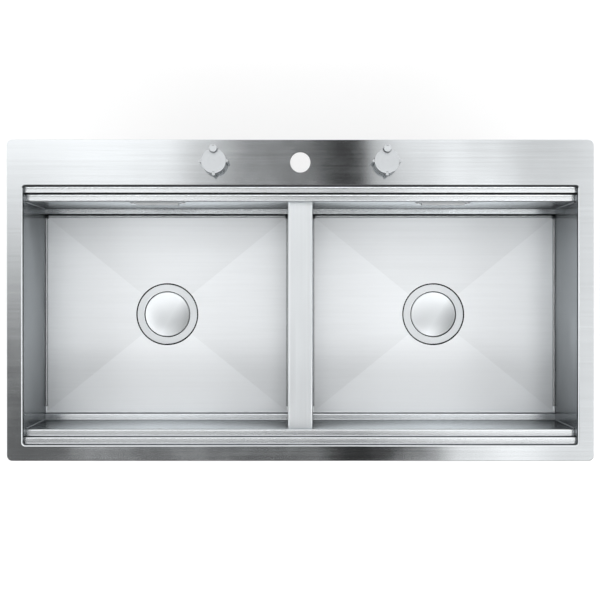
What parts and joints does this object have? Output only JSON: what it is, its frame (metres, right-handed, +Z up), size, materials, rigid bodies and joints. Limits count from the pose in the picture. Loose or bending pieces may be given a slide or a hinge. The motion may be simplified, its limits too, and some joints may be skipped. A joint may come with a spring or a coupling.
{
  "type": "kitchen sink",
  "caption": "Drop-in kitchen sink with two creased bowls, stepped ledges front and back, a low divider and rotary controls that lift the strainers.",
  "frame": {"origin": "centre of the rim's footprint, on the worktop's surface that the rim gasket rests on", "axes": "+Z up, +X along the length to the user's right, +Y to the back deck with the tap hole"},
  "size_m": [1.016, 0.556, 0.435],
  "materials": {
    "deck_steel": "brushed along the length",
    "wall_steel": "brushed along the length",
    "divider_steel": "brushed along the depth",
    "floor_steel": "brushed along the length",
    "drain_steel": "turned, satin",
    "cap_steel": "turned, satin",
    "basket_steel": "pressed, satin",
    "overflow_steel": "brushed",
    "knob_steel": "turned, satin",
    "peg_steel": "turned, satin",
    "ring_steel": "polished",
    "screw_steel": "polished",
    "bracket_steel": "mill finish",
    "zinc_steel": "zinc plated",
    "brass": "machined",
    "foam": "closed-cell foam",
    "pad_rubber": "matt sheet",
    "seal_rubber": "matt",
    "dark_plastic": "moulded"
  },
  "bodies": {
    "sink": {"deck_plate": "deck_steel", "back_stepped_wall": "wall_steel", "front_stepped_wall": "wall_steel", "divider": "divider_steel", "rim_gasket": "foam", "sound_pads": "pad_rubber", "clamp_brackets": "bracket_steel", "clamp_hooks": "zinc_steel", "clamp_screws": "zinc_steel", "lock_nuts": "dark_plastic", "overflow_gaskets": "seal_rubber", "overflow_screws": "screw_steel", "control_washers": "seal_rubber", "control_nuts": "brass", "drum_covers": "dark_plastic", "cable_glands": "zinc_steel", "left_end_wall": "wall_steel", "left_bowl_floor": "floor_steel", "left_waste_body": "drain_steel", "left_flange_seal": "seal_rubber", "left_back_washer": "seal_rubber", "left_outlet_housing": "dark_plastic", "left_overflow_cover": "overflow_steel", "left_overflow_box": "dark_plastic", "left_base_ring": "ring_steel", "left_control_bush": "brass", "left_drum_housing": "dark_plastic", "right_end_wall": "wall_steel", "right_bowl_floor": "floor_steel", "right_waste_body": "drain_steel", "right_flange_seal": "seal_rubber", "right_back_washer": "seal_rubber", "right_outlet_housing": "dark_plastic", "right_overflow_cover": "overflow_steel", "right_overflow_box": "dark_plastic", "right_base_ring": "ring_steel", "right_control_bush": "brass", "right_drum_housing": "dark_plastic"},
    "left_control": {"left_knob": "knob_steel", "left_finger_peg": "peg_steel", "left_control_spindle": "zinc_steel", "left_cable_drum": "dark_plastic"},
    "left_lever": {"left_lever_spindle": "zinc_steel", "left_lift_arm": "dark_plastic", "left_cable_arm": "zinc_steel"},
    "left_pin": {"left_lift_pin": "basket_steel"},
    "left_strainer": {"left_strainer_basket": "basket_steel", "left_plug_seal": "seal_rubber", "left_drain_cap": "cap_steel"},
    "right_control": {"right_knob": "knob_steel", "right_finger_peg": "peg_steel", "right_control_spindle": "zinc_steel", "right_cable_drum": "dark_plastic"},
    "right_lever": {"right_lever_spindle": "zinc_steel", "right_lift_arm": "dark_plastic", "right_cable_arm": "zinc_steel"},
    "right_pin": {"right_lift_pin": "basket_steel"},
    "right_strainer": {"right_strainer_basket": "basket_steel", "right_plug_seal": "seal_rubber", "right_drain_cap": "cap_steel"}
  },
  "joints": [
    {"name": "left_control_turn", "type": "hinge", "parent": "sink", "child": "left_control", "pos_m": [-0.148, 0.2375, 0.003], "axis": [0, 0, -1], "range_deg": [0, 90]},
    {"name": "left_lever_swing", "type": "hinge", "parent": "sink", "child": "left_lever", "pos_m": [-0.251, -0.0145, -0.33], "axis": [-1, 0, 0], "range_deg": [0, 40]},
    {"name": "left_pin_rise", "type": "slide", "parent": "sink", "child": "left_pin", "axis": [0, 0, 1], "range_m": [0, 0.00873]},
    {"name": "left_strainer_lift_out", "type": "slide", "parent": "left_pin", "child": "left_strainer", "axis": [0, 0, 1], "range_m": [0, 0.06]},
    {"name": "right_control_turn", "type": "hinge", "parent": "sink", "child": "right_control", "pos_m": [0.148, 0.2375, 0.003], "axis": [0, 0, -1], "range_deg": [0, 90]},
    {"name": "right_lever_swing", "type": "hinge", "parent": "sink", "child": "right_lever", "pos_m": [0.251, -0.0145, -0.33], "axis": [-1, 0, 0], "range_deg": [0, 40]},
    {"name": "right_pin_rise", "type": "slide", "parent": "sink", "child": "right_pin", "axis": [0, 0, 1], "range_m": [0, 0.00873]},
    {"name": "right_strainer_lift_out", "type": "slide", "parent": "right_pin", "child": "right_strainer", "axis": [0, 0, 1], "range_m": [0, 0.06]}
  ],
  "couplings": [
    {"joint": "left_lever_swing", "follows": "left_control_turn", "ratio": 0.4444},
    {"joint": "left_pin_rise", "follows": "left_control_turn", "m_per_rad": 0.0055603},
    {"joint": "right_lever_swing", "follows": "right_control_turn", "ratio": 0.4444},
    {"joint": "right_pin_rise", "follows": "right_control_turn", "m_per_rad": 0.0055603}
  ]
}
